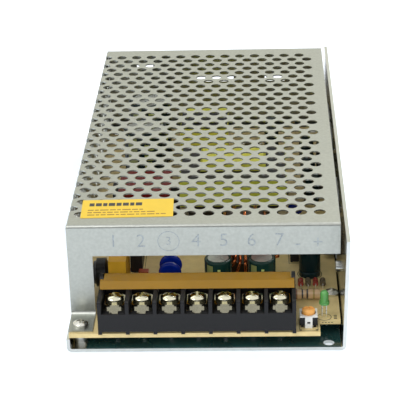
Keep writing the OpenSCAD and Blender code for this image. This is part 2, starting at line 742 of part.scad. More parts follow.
module driver_bobbin() color([0.15, 0.14, 0.13]) at_driver(0) {
    translate([-driver[0] / 2 + 1, -driver[1] / 2 + 0.4, 0])
        cube([driver[0] - 2, driver[1] - 0.8, driver_base]);
    for (side = [-1, 1]) translate([-driver[0] / 2 + 1, side * (driver[1] / 2 - 2.2) - 1.8, driver_base])
        cube([driver[0] - 2, 3.6, driver_lift - driver_base]);
}

module driver_core_tape() color([0.75, 0.75, 0.25]) at_driver(driver_lift)
    core_band(driver[0], driver[1], driver[2]);

module coupling_capacitor() place() color([0.8, 0.8, 0.3]) block_at(coupling_at, coupling);

module main_core() place() color([0.16, 0.16, 0.17])
    translate([main_at[0], main_at[1], main_z]) flat_core(core_w, core_l, core_h, leg_t, yoke);

module main_winding() place() color("yellow")
    translate([main_at[0], main_at[1], board_top + winding_lift])
        flat_winding(core_w - 2 * leg_t - main_slack, core_l - 2 * (yoke + cheek_t) - main_slack,
            main_lift + core_h + main_rise - winding_lift);

module main_bobbin() place() color([0.15, 0.14, 0.13])
    translate([main_at[0], main_at[1], board_top]) {
        translate([bobbin_side - core_w / 2, bobbin_end - core_l / 2, 0])
            cube([core_w - 2 * bobbin_side, core_l - 2 * bobbin_end, winding_lift]);
        for (side = [-1, 1]) {
            translate([bobbin_side - core_w / 2, side * (core_l - yoke) / 2 - yoke / 2 + bobbin_end,
                winding_lift])
                cube([core_w - 2 * bobbin_side, yoke - 2 * bobbin_end, main_lift - winding_lift]);
            translate([-core_w / 2 + leg_t + main_slack / 2,
                side * (core_l / 2 - yoke - cheek_t / 2) - cheek_t / 2, winding_lift])
                cube([core_w - 2 * leg_t - main_slack, cheek_t,
                    main_lift - winding_lift + core_h + cheek_rise]);
        }
    }

module main_core_tape() place() color([0.68, 0.7, 0.25])
    translate([main_at[0], main_at[1], main_z]) core_band(core_w, core_l, core_h);

// Output side

module at_ring() translate([ring_at[0], ring_at[1], board_top + ring_d / 2 + wire_d + 0.3])
    rotate([90, 0, 0]) children();

module choke_ring() place() color([0.55, 0.5, 0.2]) at_ring() translate([0, 0, -ring_w / 2])
    difference() {
        cylinder(d = ring_d, h = ring_w);
        translate([0, 0, -1]) cylinder(d = ring_d * 0.58, h = ring_w + 2);
    }

// Each turn is a loop of wire round the section of the ring.
module choke_winding() place() color([0.72, 0.38, 0.2]) at_ring() for (i = [0 : ring_turns - 1])
    rotate(i * 360 / ring_turns) translate([0, wire_d * 0.4, 0]) rotate([90, 0, 0])
        linear_extrude(wire_d * 0.8) difference() {
            translate([ring_d * 0.29 - wire_d, -ring_w / 2 - wire_d])
                square([ring_d * 0.21 + 2 * wire_d, ring_w + 2 * wire_d]);
            translate([ring_d * 0.29 - 0.05, -ring_w / 2]) square([ring_d * 0.21 + 0.05, ring_w]);
        }

module output_capacitors() place() color([0.05, 0.22, 0.22]) for (x = out_cap_x)
    translate([x, out_cap_y, board_top]) difference() {
        can(out_cap_d, out_cap_h);
        translate([0, 0, out_cap_h - 0.4]) cylinder(d = out_cap_d - 2.2, h = 1);
    }

module output_capacitor_tops() place() color("silver") for (x = out_cap_x)
    translate([x, out_cap_y, board_top + out_cap_h - 0.4]) difference() {
        cylinder(d = out_cap_d - 2.4, h = 0.3);
        for (turn = [45, 135]) rotate(turn) translate([-out_cap_d, -0.15, 0.15])
            cube([2 * out_cap_d, 0.3, 1]);
    }

module standing_capacitor() place() color([0.07, 0.12, 0.1])
    translate([aux_at[0], aux_at[1], board_top]) can(aux_d, aux_h);

module small_capacitors() place() color([0.07, 0.14, 0.12]) for (at = small_can_at)
    translate([at[0], at[1], board_top]) can(small_can_d, small_can_h);

module power_resistor() place() color("tan")
    translate([resistor_x[0], resistor_y, board_top + resistor_r + 0.3]) rotate([0, 90, 0])
        rotate_extrude() difference() {
            square([resistor_r, resistor_x[1] - resistor_x[0]]);
            translate([resistor_r + 1.7, (resistor_x[1] - resistor_x[0]) / 2]) circle(2);
        }

// Small axial parts: place, turn and length.
row_y = 36;
row_step_x = 2.7;
function row_x(i) = aux_at[0] - 3.6 + row_step_x * i;
resistors = [[row_x(1), row_y, 90, 3.4], [row_x(3), row_y, 90, 3.4], [8, 62, 0, 6.5],
    [-16, 56, 90, 6.5], [-12, 72, 0, 6.5], [30, 118, 90, 6.5], [24, 130, 0, 6.5],
    [-8, 122, 90, 6.5], [16, 168, 0, 6.5]];
diodes = [[row_x(0), row_y, 90, 3.4], [row_x(2), row_y, 90, 3.4], [2, 68, 0, 4.2],
    [26, 122, 90, 4.2], [10, 130, 0, 4.2]];
axial_r = 1.05;

module axial(part, r, lift) translate([part[0], part[1], board_top + lift + r]) rotate(part[2])
    rotate([0, 90, 0]) translate([0, 0, -part[3] / 2]) rotate_extrude() difference() {
        square([r, part[3]]);
        translate([r, part[3] / 2]) circle(0.35);
    }

module small_resistors() place() color("burlywood") for (part = resistors) axial(part, axial_r, 0.3);

module small_diodes() place() color([0.45, 0.12, 0.12]) for (part = diodes) axial(part, axial_r, 0.3);

// A wire bent down to the board beyond each end of an axial part.
module bent_leads(length, z, d) for (side = [-1, 1]) {
    translate([side * length / 2, 0, z]) rotate([0, side * 90, 0]) cylinder(d = d, h = 1.2, $fn = 16);
    translate([side * (length / 2 + 1.2), 0, z]) sphere(d = d, $fn = 16);
    translate([side * (length / 2 + 1.2), 0, 0]) cylinder(d = d, h = z, $fn = 16);
}

module control_chip() place() color([0.1, 0.1, 0.1]) {
    block_at(chip_at, [6.4, 19.3, 3.2], 0.5);
    for (side = [-1, 1], i = [0 : 7])
        block_at([chip_at[0] + side * 3.4, chip_at[1] + (i - 3.5) * 2.54], [0.8, 0.5, 2.2]);
}

// Parts held against the tall wall

module flat_pack(w) translate([0, -w / 2, 0]) {
    translate([-tab_t - pad_t, 0, pack_z + pack_h]) difference() {
        cube([tab_t, w, tab_h]);
        translate([-1, w / 2, wall_hole_z - pack_z - pack_h]) rotate([0, 90, 0])
            cylinder(d = screw_d + 0.6, h = tab_t + 2);
    }
    translate([-pack_t - pad_t, 0, pack_z]) cube([pack_t, w, pack_h]);
    for (i = [-1 : 1]) translate([-2 * tab_t - pad_t, w / 2 + i * 2.54 - 0.4, board_top + 0.2])
        cube([0.5, 0.8, pack_z - board_top - 0.2]);
}

module power_transistors() place() color([0.14, 0.14, 0.14])
    for (y = wall_part_y) on_wall(y, 0) flat_pack(transistor_w);

module output_rectifier() place() color([0.14, 0.14, 0.14])
    on_wall(rectifier_y, 0) flat_pack(rectifier_w);

module insulating_pads() place() color("lightgray") for (y = concat(wall_part_y, [rectifier_y]))
    on_wall(y, 0) difference() {
        translate([-pad_t, -pad_w / 2, pad_z]) cube([pad_t, pad_w, pad_h]);
        translate([-1, 0, wall_hole_z]) rotate([0, 90, 0]) cylinder(d = screw_d + 0.6, h = 2);
    }

module wall_screws() place() color("silver") for (y = concat(wall_part_y, [rectifier_y]))
    on_wall(y, wall_hole_z) translate([-tab_t - pad_t, 0, 0]) rotate([0, -90, 0])
        pan_screw(screw_d, head_d, head_h, tab_t + pad_t + sheet - 0.1);

// Leads run from the underside of each standing part to the board.
// Each entry is x, y, height of the lead's top above the board and its diameter.
function round_foot(d, offset) = d / 2 - sqrt(d * d / 4 - offset * offset);
leads = concat(
    [for (side = [-1, 1]) [lamp_at[0] + side * 0.75, lamp_at[1], lamp_z - board_top, 0.5]],
    [for (y = disc_y, side = [-1, 1]) [disc_x + side * 1.2, y, disc_lift + round_foot(disc_d, 1.2), 0.6]],
    [for (side = [-1, 1]) [blue_disc_at[0] + side, blue_disc_at[1],
        disc_lift + round_foot(blue_disc_d, 1), 0.6]],
    [for (side = [-1, 1]) [bridge_at[0] + bridge[0] / 2, bridge_mid_y + side * 2.5, bridge_lift, 1]],
    [for (side = [-1, 1]) [bridge_at[0] + bridge[0] / 2, bridge_mid_y + side * 7.5, bridge_lift, 1]],
    [for (side = [-1, 1]) [thermistor_x, thermistor_y + side * 1.6,
        thermistor_lift + round_foot(thermistor_d, 1.6), 0.8]]);

module component_leads() place() color("silver") {
    for (lead = leads) translate([lead[0], lead[1], board_top])
        cylinder(d = lead[3], h = lead[2] - 0.02, $fn = 16);
    for (part = concat(resistors, diodes)) translate([part[0], part[1], board_top]) rotate(part[2])
        bent_leads(part[3], 0.3 + axial_r, 0.6);
    translate([(resistor_x[0] + resistor_x[1]) / 2, resistor_y, board_top])
        bent_leads(resistor_x[1] - resistor_x[0], 0.3 + resistor_r, 0.8);
}

// Solder cones hang under the board where leads come through.
solder_at = concat([for (lead = leads) [lead[0], lead[1]]],
    [for (i = [0 : poles - 1], y = [4, 12]) [pole_x(i), y]],
    [for (x = out_cap_x, side = [-1, 1]) [x + side * 2.5, out_cap_y]],
    [for (y = bulk_y, side = [-1, 1]) [bulk_x + side * 5, y]]);

module solder_points() place() color("silver") for (at = solder_at)
    translate([at[0], at[1], board_z - 1.6]) cylinder(d1 = 0.9, d2 = 2.4, h = 1.6, $fn = 16);

chassis();
insulating_film();
standoffs();
circuit_board();
cover();
sticker();
board_screws();
rear_screws();
terminal_block();
terminal_plates();
clamp_washers();
terminal_screws();
flip_lid();
trimmer_body();
trimmer_frame();
trimmer_knob();
lamp();
thermistor();
line_capacitor();
bridge_rectifier();
disc_capacitors();
film_capacitor();
line_choke_core();
line_choke_winding();
bulk_capacitors();
bulk_capacitor_tops();
driver_core();
driver_winding();
driver_bobbin();
driver_core_tape();
coupling_capacitor();
small_capacitors();
main_core();
main_winding();
main_bobbin();
main_core_tape();
choke_ring();
choke_winding();
output_capacitors();
output_capacitor_tops();
standing_capacitor();
power_resistor();
small_resistors();
small_diodes();
control_chip();
power_transistors();
output_rectifier();
insulating_pads();
wall_screws();
component_leads();
solder_points();
blue_disc();
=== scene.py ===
# %% [markdown]
# # A mesh case power supply
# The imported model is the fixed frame: every solid already has its right size and place.
# This script adds the finishes, the small printed and wound details, the light and the camera.

# %% Load the frame
import bpy
import bmesh
import math
from mathutils import Matrix, Vector


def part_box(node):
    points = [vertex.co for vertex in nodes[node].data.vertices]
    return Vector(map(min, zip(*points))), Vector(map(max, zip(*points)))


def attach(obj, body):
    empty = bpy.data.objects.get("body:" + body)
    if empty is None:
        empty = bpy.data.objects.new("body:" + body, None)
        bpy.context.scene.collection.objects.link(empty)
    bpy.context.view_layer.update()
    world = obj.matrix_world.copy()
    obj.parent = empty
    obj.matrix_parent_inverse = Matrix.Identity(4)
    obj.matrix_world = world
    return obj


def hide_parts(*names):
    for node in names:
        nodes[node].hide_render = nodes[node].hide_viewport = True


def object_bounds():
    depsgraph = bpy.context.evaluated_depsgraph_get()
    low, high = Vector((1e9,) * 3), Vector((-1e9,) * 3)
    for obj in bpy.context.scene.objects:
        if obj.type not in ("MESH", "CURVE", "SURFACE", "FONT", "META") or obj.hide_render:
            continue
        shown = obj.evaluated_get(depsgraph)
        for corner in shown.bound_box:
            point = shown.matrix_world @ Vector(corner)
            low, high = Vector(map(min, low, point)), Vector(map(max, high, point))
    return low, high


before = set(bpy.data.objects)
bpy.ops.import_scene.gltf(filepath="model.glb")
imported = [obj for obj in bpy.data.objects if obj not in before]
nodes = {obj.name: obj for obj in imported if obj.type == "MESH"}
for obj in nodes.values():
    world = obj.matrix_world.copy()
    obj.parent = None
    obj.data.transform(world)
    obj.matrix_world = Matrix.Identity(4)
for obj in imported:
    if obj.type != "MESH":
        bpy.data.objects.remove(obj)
cad_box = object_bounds()
scene = bpy.context.scene
MM = 0.001


def span(name):
    """The low and the high corner of a node's box."""
    return [Vector(corner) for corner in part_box(name)]


def put_in_scene(name, data):
    """Makes an object of some data and links it to the scene."""
    made = bpy.data.objects.new(name, data)
    scene.collection.objects.link(made)
    return made


low, high = [Vector(corner) for corner in cad_box]
print("case", [round(size / MM, 1) for size in high - low], "mm,", len(nodes), "nodes")

# %% [markdown]
# ## The camera
# A long lens from a little above the terminal side shows the perforated top and the open front
# together. The camera is turned in three plain steps: a pan, a tilt and a slight roll. Aiming it
# with a constraint would be quicker, but would leave no room for the roll.

# %% Place the camera
camera_data = bpy.data.cameras.new("studio_camera")
camera = put_in_scene("studio_camera", camera_data)
pan, tilt, roll = math.radians(2.67), math.radians(65.33), math.radians(-1.78)
camera.matrix_world = (Matrix.Translation((0.01957, -0.60531, 0.29041)) @ Matrix.Rotation(pan, 4, "Z")
                       @ Matrix.Rotation(tilt, 4, "X") @ Matrix.Rotation(roll, 4, "Z"))
camera_data.sensor_width = 36
camera_data.lens = 149.07
camera_data.shift_x, camera_data.shift_y = 0.02105, 0.00358
camera_data.clip_start = 0.01
scene.camera = camera
scene.view_settings.view_transform = "Standard"
print("camera", [round(value, 3) for value in camera.location])

# %% [markdown]
# ## White surround
# Product pictures of metal need white all round, because metal shows what stands about it. The
# world is white to the camera and in reflections, and lights the case with a softer, cooler grey.
# One Light Path node tells the two apart, which is simpler than building a white room.

# %% Surround
def shader_tree(owner):
    """Clears the node tree of a material or a world and returns its nodes and links."""
    owner.use_nodes = True
    tree = owner.node_tree
    tree.nodes.clear()
    return tree.nodes, tree.links


def combine(parts, links, operation, first, second):
    """One value from two, by a Math node."""
    node = parts.new("ShaderNodeMath")
    node.operation = operation
    links.new(first, node.inputs[0])
    links.new(second, node.inputs[1])
    return node.outputs[0]


def show_and_light(parts, links, shown, lighting, out):
    """Uses one shader where it is seen, mirrored or seen through glass, and another as light."""
    path = parts.new("ShaderNodeLightPath")
    seen = combine(parts, links, "MAXIMUM", path.outputs["Is Camera Ray"], path.outputs["Is Glossy Ray"])
    seen = combine(parts, links, "MAXIMUM", seen, path.outputs["Is Transmission Ray"])
    mix = parts.new("ShaderNodeMixShader")
    links.new(seen, mix.inputs[0])
    links.new(lighting.outputs[0], mix.inputs[1])
    links.new(shown.outputs[0], mix.inputs[2])
    links.new(mix.outputs[0], out.inputs["Surface"])


def white_surround():
    world = bpy.data.worlds.new("white_surround")
    parts, links = shader_tree(world)
    shown = parts.new("ShaderNodeBackground")
    shown.inputs["Color"].default_value = (1, 1, 1, 1)
    lighting = parts.new("ShaderNodeBackground")
    lighting.inputs["Color"].default_value = (0.95, 0.97, 1, 1)
    lighting.inputs["Strength"].default_value = 0.45
    show_and_light(parts, links, shown, lighting, parts.new("ShaderNodeOutputWorld"))
    return world


scene.world = white_surround()
print("world", scene.world.name)

# %% [markdown]
# ## Floor and cards
# The floor shows a little glow of its own to the camera, so that it reads as white and still
# keeps the soft shadow under the case. A dark card stands far behind the camera: metal that faces
# it turns dark there, and that is what makes a screw look plated. A warm card behind the case
# tints what the flat tops mirror. A lamp could do that too, but would light everything else as
# well. Both cards are hidden from the camera and from diffuse light, so they show only in
# reflections and through clear plastic.

# %% Floor and cards
def floor_finish():
    material = bpy.data.materials.new("white_floor")
    parts, links = shader_tree(material)
    matt = parts.new("ShaderNodeBsdfDiffuse")
    matt.inputs["Color"].default_value = (0.85, 0.88, 0.93, 1)
    glow = parts.new("ShaderNodeEmission")
    glow.inputs["Color"].default_value = (0.92, 0.97, 1, 1)
    glow.inputs["Strength"].default_value = 0.34
    both = parts.new("ShaderNodeAddShader")
    links.new(matt.outputs[0], both.inputs[0])
    links.new(glow.outputs[0], both.inputs[1])
    show_and_light(parts, links, both, matt, parts.new("ShaderNodeOutputMaterial"))
    return material


def card_finish(name, colour, glow=0.0):
    """A plain card: matt, with an even glow of its own if one is given."""
    material = bpy.data.materials.new(name)
    parts, links = shader_tree(material)
    matt = parts.new("ShaderNodeBsdfPrincipled")
    matt.inputs["Base Color"].default_value = (*colour, 1)
    matt.inputs["Roughness"].default_value = 1
    matt.inputs["Emission Color"].default_value = (*colour, 1)
    matt.inputs["Emission Strength"].default_value = glow
    out = parts.new("ShaderNodeOutputMaterial")
    links.new(matt.outputs[0], out.inputs["Surface"])
    return material


def studio_sheet(name, material, half_size, place):
    """A flat rectangle that belongs to the studio and not to the object."""
    shape = bmesh.new()
    bmesh.ops.create_grid(shape, x_segments=1, y_segments=1, size=1)
    bmesh.ops.transform(shape, verts=shape.verts, matrix=place @ Matrix.Diagonal((*half_size, 1, 1)))
    mesh = bpy.data.meshes.new(name)
    shape.to_mesh(mesh)
    shape.free()
    mesh.materials.append(material)
    sheet = put_in_scene(name, mesh)
    return sheet


upright = Matrix.Rotation(math.radians(90), 4, "X")
studio_sheet("floor", floor_finish(), (6, 6), Matrix.Translation((0, 0, low.z - 0.2 * MM)))
for name, colour, glow, half_size, place in (
        ("dark_card", (0.02, 0.02, 0.022), 0, (1.5, 0.36), (0, -1.7, 0.42)),
        ("warm_card", (1, 0.97, 0.82), 0.42, (2.4, 0.9), (0, 2.2, 1.0))):
    card = studio_sheet(name, card_finish(name, colour, glow), half_size, Matrix.Translation(place) @ upright)
    card.visible_camera = False
    card.visible_diffuse = False
    card.visible_shadow = False
print("a floor and two cards")

# %% [markdown]
# ## Lamps
# Two large soft lamps, high on the left and behind on the right, shape the folds. A low and wide
# one in front looks in under the cover. It isn't mirrored, because its image would bleach the
# perforated top in a view from behind.

# %% Lamps
def soft_lamp(name, place, size, power, colour=(1, 1, 1)):
    """A rectangular lamp that faces the middle of the case."""
    data = bpy.data.lights.new(name, "AREA")
    data.shape = "RECTANGLE"
    data.size, data.size_y = size
    data.energy = power
    data.color = colour
    lamp = put_in_scene(name, data)
    lamp.location = place
    lamp.rotation_euler = (-Vector(place)).to_track_quat("-Z", "Y").to_euler()
    return lamp


soft_lamp("high_left", (-0.5, -0.45, 0.9), (0.7, 0.7), 5.5)
front_lamp = soft_lamp("front", (0.1, -1.15, 0.555), (0.6, 0.12), 4.2, (0.86, 0.94, 1))
front_lamp.visible_glossy = False
soft_lamp("back_right", (0.55, 0.6, 0.9), (0.6, 0.6), 8)
print(len(bpy.data.lights), "lamps")

# %% [markdown]
# ## A helper for finishes
# Every real surface varies a little: rolled sheet has streaks, plastic has a fine grain. The
# helper starts each finish from one Principled shader and gives its colour a gentle drift, its
# gloss a patchy change and its surface a shallow relief. A noise on Object coordinates does all
# three, in metres, and needs no unwrapping.

# %% Finish helpers
def finish(name, colour, rough, metal=0.0, drift=0.08, patch=0.0, grain=600, relief=0.0,
           stretch=(1, 1, 1), coat=0.0):
    """A material with drifting colour. grain is in features per metre; relief is in metres."""
    material = bpy.data.materials.new(name)
    parts, links = shader_tree(material)
    shader = parts.new("ShaderNodeBsdfPrincipled")
    shader.name = "surface"
    shader.inputs["Roughness"].default_value = rough
    shader.inputs["Metallic"].default_value = metal
    if coat:
        shader.inputs["Coat Weight"].default_value = coat
        shader.inputs["Coat Roughness"].default_value = 0.08
    out = parts.new("ShaderNodeOutputMaterial")
    links.new(shader.outputs[0], out.inputs["Surface"])
    where = parts.new("ShaderNodeTexCoord")
    place = parts.new("ShaderNodeMapping")
    place.name = "place"
    place.inputs["Scale"].default_value = stretch
    links.new(where.outputs["Object"], place.inputs["Vector"])
    noise = parts.new("ShaderNodeTexNoise")
    noise.inputs["Scale"].default_value = grain
    noise.inputs["Detail"].default_value = 4
    links.new(place.outputs[0], noise.inputs["Vector"])
    tones = parts.new("ShaderNodeValToRGB")
    for stop, position, sign in zip(tones.color_ramp.elements, (0.3, 0.7), (-1, 1)):
        stop.position = position
        stop.color = tuple(min(1, part * (1 + sign * drift)) for part in colour) + (1,)
    links.new(noise.outputs["Fac"], tones.inputs["Fac"])
    links.new(tones.outputs["Color"], shader.inputs["Base Color"])
    if patch:
        gloss = parts.new("ShaderNodeMapRange")
        gloss.inputs["To Min"].default_value = max(0.03, rough - patch)
        gloss.inputs["To Max"].default_value = min(1, rough + patch)
        links.new(noise.outputs["Fac"], gloss.inputs["Value"])
        links.new(gloss.outputs[0], shader.inputs["Roughness"])
    if relief:
        emboss(parts, links, noise.outputs["Fac"], relief)
    return material


def emboss(parts, links, height, depth):
    """Gives the main shader a relief of some depth in metres."""
    bump = parts.new("ShaderNodeBump")
    bump.inputs["Strength"].default_value = 1
    bump.inputs["Distance"].default_value = depth
    links.new(height, bump.inputs["Height"])
    links.new(bump.outputs[0], parts["surface"].inputs["Normal"])


def tune(material, settings):
    """Sets plain numbers on the main shader of a finish."""
    for socket, value in settings.items():
        material.node_tree.nodes["surface"].inputs[socket].default_value = value


def paint(material, *names):
    """Gives CAD nodes a finish; their meshes stay as they are."""
    for name in names:
        mesh = nodes[name].data
        mesh.materials.clear()
        mesh.materials.append(material)
    print(material.name, "on", ", ".join(names))


print("finish helpers ready")

# %% [markdown]
# ## Sheet metal
# The chassis is rolled aluminium: long faint streaks run with the sheet, which a noise stretched
# along the case gives. The cover is zinc coated steel, whose tiny crystals catch the light one by
# one, so a fine cell pattern drives its gloss and a very shallow relief.

# %% Chassis and cover
chassis_metal = finish("rolled_aluminium", (0.6, 0.62, 0.6), 0.16, metal=1, drift=0.05, patch=0.05,
                       grain=500, relief=0.000004, stretch=(1, 0.08, 1))
paint(chassis_metal, "chassis")


def zinc_coat():
    material = finish("zinc_coat", (0.425, 0.44, 0.405), 0.34, metal=1, drift=0.06, grain=900)
    parts, links = material.node_tree.nodes, material.node_tree.links
    crystals = parts.new("ShaderNodeTexVoronoi")
    crystals.inputs["Scale"].default_value = 1500
    links.new(parts["place"].outputs[0], crystals.inputs["Vector"])
    gloss = parts.new("ShaderNodeMapRange")
    gloss.inputs["To Min"].default_value = 0.28
    gloss.inputs["To Max"].default_value = 0.42
    links.new(crystals.outputs["Color"], gloss.inputs["Value"])
    links.new(gloss.outputs[0], parts["surface"].inputs["Roughness"])
    emboss(parts, links, crystals.outputs["Color"], 0.000005)
    return material


paint(zinc_coat(), "cover")

# %% [markdown]
# ## Board, film and sticker
# The board is a tan paper laminate under a thin lacquer. The lacquer could be a second sheet, but
# a clear coat in the shader looks the same and adds no mesh. The film below it is dark, glossy and
# slightly wavy. The sticker is plain yellow, and its bars come later.

# %% Flat sheets
board_tan = finish("board_laminate", (0.8, 0.62, 0.28), 0.4, drift=0.07, grain=350, coat=0.3)
paint(board_tan, "circuit_board")
film_dark = finish("dark_film", (0.014, 0.048, 0.046), 0.12, drift=0.3, grain=60, relief=0.00006)
paint(film_dark, "insulating_film")
sticker_yellow = finish("sticker_yellow", (0.78, 0.52, 0.025), 0.38, drift=0.03, grain=200)
paint(sticker_yellow, "sticker")

# %% [markdown]
# ## Screws and plated parts
# Plated steel is a near mirror, dulled a little by handling. The terminal screws and washers are
# given a slightly warmer, yellower tone than the other screws, and tin is the palest of them.
# Scratches could be modelled, but on parts this small a tone and a gloss of their own tell them apart.

# %% Plated finishes
bright_plate = finish("bright_plate", (0.66, 0.65, 0.58), 0.13, metal=1, drift=0.05, patch=0.06,
                      grain=900, relief=0.000006)
paint(bright_plate, "rear_screws", "wall_screws")
satin_plate = finish("satin_plate", (0.74, 0.73, 0.66), 0.24, metal=1, drift=0.05, grain=700)
paint(satin_plate, "board_screws")
warm_plate = finish("warm_plate", (0.74, 0.71, 0.54), 0.12, metal=1, drift=0.06, grain=500)
paint(warm_plate, "terminal_screws", "clamp_washers")
nickel = finish("nickel", (0.6, 0.6, 0.58), 0.3, metal=1, grain=700)
paint(nickel, "standoffs")
tin = finish("bright_tin", (0.88, 0.87, 0.83), 0.28, metal=1, patch=0.08, grain=900)
paint(tin, "component_leads", "solder_points")
plate_tin = finish("plate_tin", (0.45, 0.45, 0.44), 0.14, metal=1, drift=0.05, grain=400)
paint(plate_tin, "terminal_plates")

# %% [markdown]
# ## Moulded plastic
# The terminal block is black plastic with a fine spark-eroded grain, and grain like that hardly
# shines, so its specular level is low. The lid and the lamp's lens let light through. Partly
# clear, partly coloured plastic is made here by sharing the shader between the two.

# %% Moulded finishes
black_mould = finish("black_mould", (0.008, 0.008, 0.009), 0.45, drift=0.15, grain=2500, relief=0.000015)
tune(black_mould, {"Specular IOR Level": 0.3})
paint(black_mould, "terminal_block", "trimmer_body")
amber = finish("amber_mould", (0.5, 0.27, 0.02), 0.16, drift=0.05, grain=60)
tune(amber, {"Transmission Weight": 0.45, "IOR": 1.49, "Specular IOR Level": 0.2})
paint(amber, "flip_lid")
pale_mould = finish("pale_mould", (0.82, 0.81, 0.76), 0.4, drift=0.03)
paint(pale_mould, "trimmer_frame")
orange_mould = finish("orange_mould", (1, 0.46, 0.11), 0.4, drift=0.05)
paint(orange_mould, "trimmer_knob")
green_lens = finish("green_lens", (0.17, 0.52, 0.14), 0.1, drift=0.04)
tune(green_lens, {"Transmission Weight": 0.45})
paint(green_lens, "lamp")
amber_box = finish("amber_box", (0.86, 0.45, 0.035), 0.22, drift=0.05, grain=300)
paint(amber_box, "line_capacitor")

# %% [markdown]
# ## Dipped and cast parts
# Disc and film capacitors are dipped in lacquer, which stays glossy and a little uneven, while
# chips and rectifiers are cast in a duller black. The drips could be sculpted, but at this size
# gloss and a shallow relief are enough to set the two apart. Glass diodes and the pads behind the
# power parts get plain finishes of their own.

# %% Dipped and cast finishes
black_dip = finish("black_dip", (0.008, 0.008, 0.008), 0.3, drift=0.2, grain=900, relief=0.00003)
paint(black_dip, "thermistor")
black_epoxy = finish("black_epoxy", (0.01, 0.01, 0.011), 0.5, drift=0.2, grain=1800, relief=0.00001)
paint(black_epoxy, "bridge_rectifier", "control_chip", "power_transistors", "output_rectifier")
blue_dip = finish("blue_dip", (0.001, 0.018, 0.26), 0.12, drift=0.1, grain=500, relief=0.00003)
paint(blue_dip, "disc_capacitors", "blue_disc")
brick_dip = finish("brick_dip", (0.4, 0.09, 0.05), 0.3, drift=0.08)
paint(brick_dip, "film_capacitor")
diode_glass = finish("diode_glass", (0.3, 0.045, 0.03), 0.12, drift=0.1)
paint(diode_glass, "small_diodes")
pale_pad = finish("pale_pad", (0.55, 0.57, 0.57), 0.5, drift=0.04)
paint(pale_pad, "insulating_pads")

# %% [markdown]
# ## Transformers, chokes and cans
# Ferrite is a sintered, matt black. The tape round the transformers is glossy, and its wrinkles
# run round it, so the brighter yellow one's relief is finer in Z. The main core's tape is the same
# yellow tape, painted a darker, greener yellow as painted shade for its shaded front face. Cans wear
# a shrink sleeve that leaves a bare metal top. A mask could split one finish in two there, but for
# the larger cans the frame already keeps sleeve and top apart, so each simply gets its own.

# %% Winding and can finishes
ferrite = finish("ferrite", (0.02, 0.02, 0.022), 0.55, drift=0.25, grain=1500, relief=0.00003)
paint(ferrite, "main_core", "driver_core", "line_choke_core")
dark_mould = finish("dark_mould", (0.014, 0.011, 0.009), 0.4, drift=0.1)
paint(dark_mould, "main_bobbin", "driver_bobbin", "driver_winding")
yellow_tape = finish("yellow_tape", (0.95, 0.92, 0.12), 0.18, drift=0.05, grain=250, relief=0.00003,
                     stretch=(1, 1, 4))
paint(yellow_tape, "main_winding", "driver_core_tape", "coupling_capacitor")
# The core tape's darker, greener yellow is painted shade on the same yellow tape.
olive_tape = finish("olive_tape", (0.72, 0.78, 0.1), 0.2, drift=0.06, grain=250, relief=0.00002)
paint(olive_tape, "main_core_tape")
maroon_wire = finish("maroon_wire", (0.2, 0.012, 0.012), 0.2, drift=0.15, grain=500)
paint(maroon_wire, "line_choke_winding")
powder_core = finish("powder_core", (0.02, 0.012, 0.006), 0.4, drift=0.08, relief=0.00002)
paint(powder_core, "choke_ring")
copper = finish("enamelled_copper", (0.62, 0.19, 0.06), 0.22, metal=0.9, drift=0.08, grain=900)
paint(copper, "choke_winding")
dark_sleeve = finish("dark_sleeve", (0.004, 0.016, 0.017), 0.22, drift=0.15, grain=300)
tune(dark_sleeve, {"Specular IOR Level": 0.25})
paint(dark_sleeve, "bulk_capacitors", "standing_capacitor", "small_capacitors")
teal_sleeve = finish("teal_sleeve", (0.008, 0.04, 0.03), 0.2, drift=0.12, grain=300)
paint(teal_sleeve, "output_capacitors")
can_metal = finish("can_metal", (0.66, 0.68, 0.67), 0.3, metal=1, drift=0.05, grain=600)
paint(can_metal, "bulk_capacitor_tops", "output_capacitor_tops")

# %% [markdown]
# ## Resistors
# A power resistor carries painted bands that code its value. They could be thin rings of their
# own, but paint has no thickness worth modelling, so each is a soft-edged stripe in the finish,
# placed by a share of the resistor's length.

# %% Resistor finishes
def colour_band(material, middle, colour):
    """Paints a band across X on a finish. The colour pins of a Mix node are its inputs 6 and 7."""
    half_width, soft_edge = 0.4 * MM, 0.15 * MM
    parts, links = material.node_tree.nodes, material.node_tree.links
    where = parts.new("ShaderNodeTexCoord")
    split = parts.new("ShaderNodeSeparateXYZ")
    links.new(where.outputs["Object"], split.inputs[0])
    edges = []
    for side in (-1, 1):
        edge = parts.new("ShaderNodeMapRange")
        edge.interpolation_type = "SMOOTHSTEP"
        edge.inputs["From Min"].default_value = middle + side * half_width
        edge.inputs["From Max"].default_value = middle + side * (half_width - soft_edge)
        links.new(split.outputs["X"], edge.inputs["Value"])
        edges.append(edge.outputs[0])
    mix = parts.new("ShaderNodeMix")
    mix.data_type = "RGBA"
    mask, under, over = mix.inputs[0], mix.inputs[6], mix.inputs[7]
    result = mix.outputs[2]
    base = parts["surface"].inputs["Base Color"]
    links.new(combine(parts, links, "MULTIPLY", *edges), mask)
    links.new(base.links[0].from_socket, under)
    over.default_value = (*colour, 1)
    links.new(result, base)


resistor_tan = finish("resistor_tan", (0.12, 0.09, 0.05), 0.35, drift=0.3)
paint(resistor_tan, "small_resistors")
banded = finish("banded_resistor", (0.62, 0.4, 0.2), 0.3, drift=0.08, coat=1)
body_low, body_high = span("power_resistor")
for share, colour in ((0.22, (0.2, 0.08, 0.03)), (0.42, (0.03, 0.02, 0.02)), (0.58, (0.03, 0.02, 0.02)),
                      (0.8, (0.35, 0.22, 0.05))):
    colour_band(banded, body_low.x + share * (body_high.x - body_low.x), colour)
paint(banded, "power_resistor")

# %% [markdown]
# ## Shaping helpers
# The next pieces are print, stamped marks and wire, which the frame leaves to this script. They
# share a few small helpers: one keeps a mesh as a piece that rides on the case, one turns a
# bmesh into a mesh, and the others make flat rims, rings and letters.

